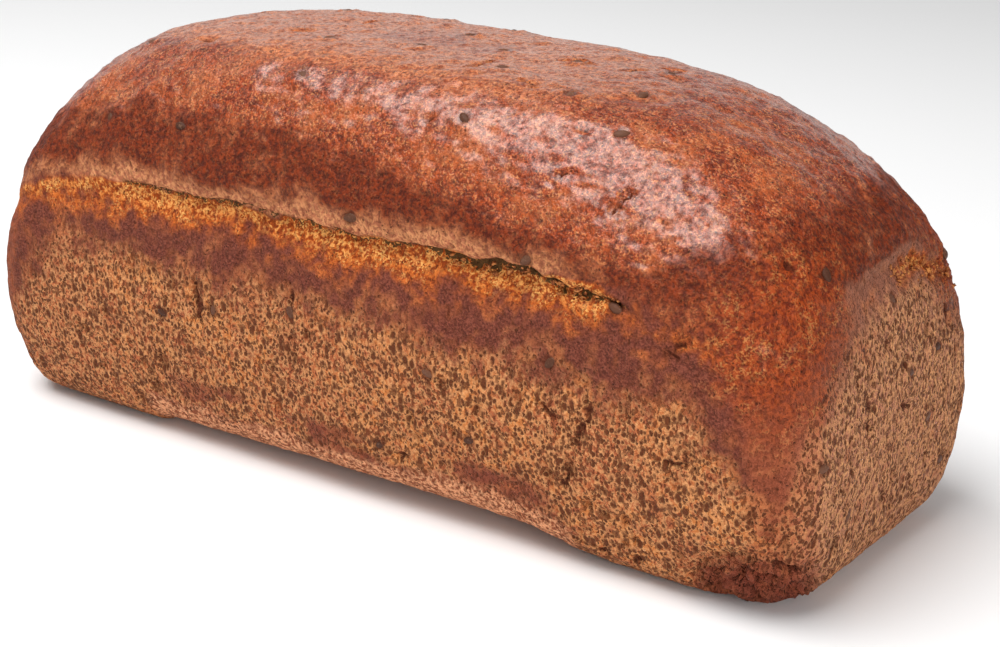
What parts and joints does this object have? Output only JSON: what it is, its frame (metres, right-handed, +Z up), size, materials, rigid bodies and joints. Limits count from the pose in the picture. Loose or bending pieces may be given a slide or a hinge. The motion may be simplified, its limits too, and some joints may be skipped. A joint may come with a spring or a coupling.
{
  "type": "tin loaf of wholegrain bread",
  "caption": "Whole uncut tin loaf of wholegrain bread with a domed glossy top crust, a crease along the rim, porous sides and seeds.",
  "frame": {"origin": "on the table under the middle of the loaf, at the bottom centre of its bounding box", "axes": "+X along the loaf's length, +Z up, -Y towards the long side that shows in the picture"},
  "size_m": [0.2711, 0.1142, 0.1169],
  "materials": {
    "crust": "baked crust, glossy red-brown on the dome, dull and porous tan-brown on the walls",
    "seed": "dark brown flax seed, satin"
  },
  "bodies": {
    "root": {"loaf": "crust"}
  },
  "joints": []
}
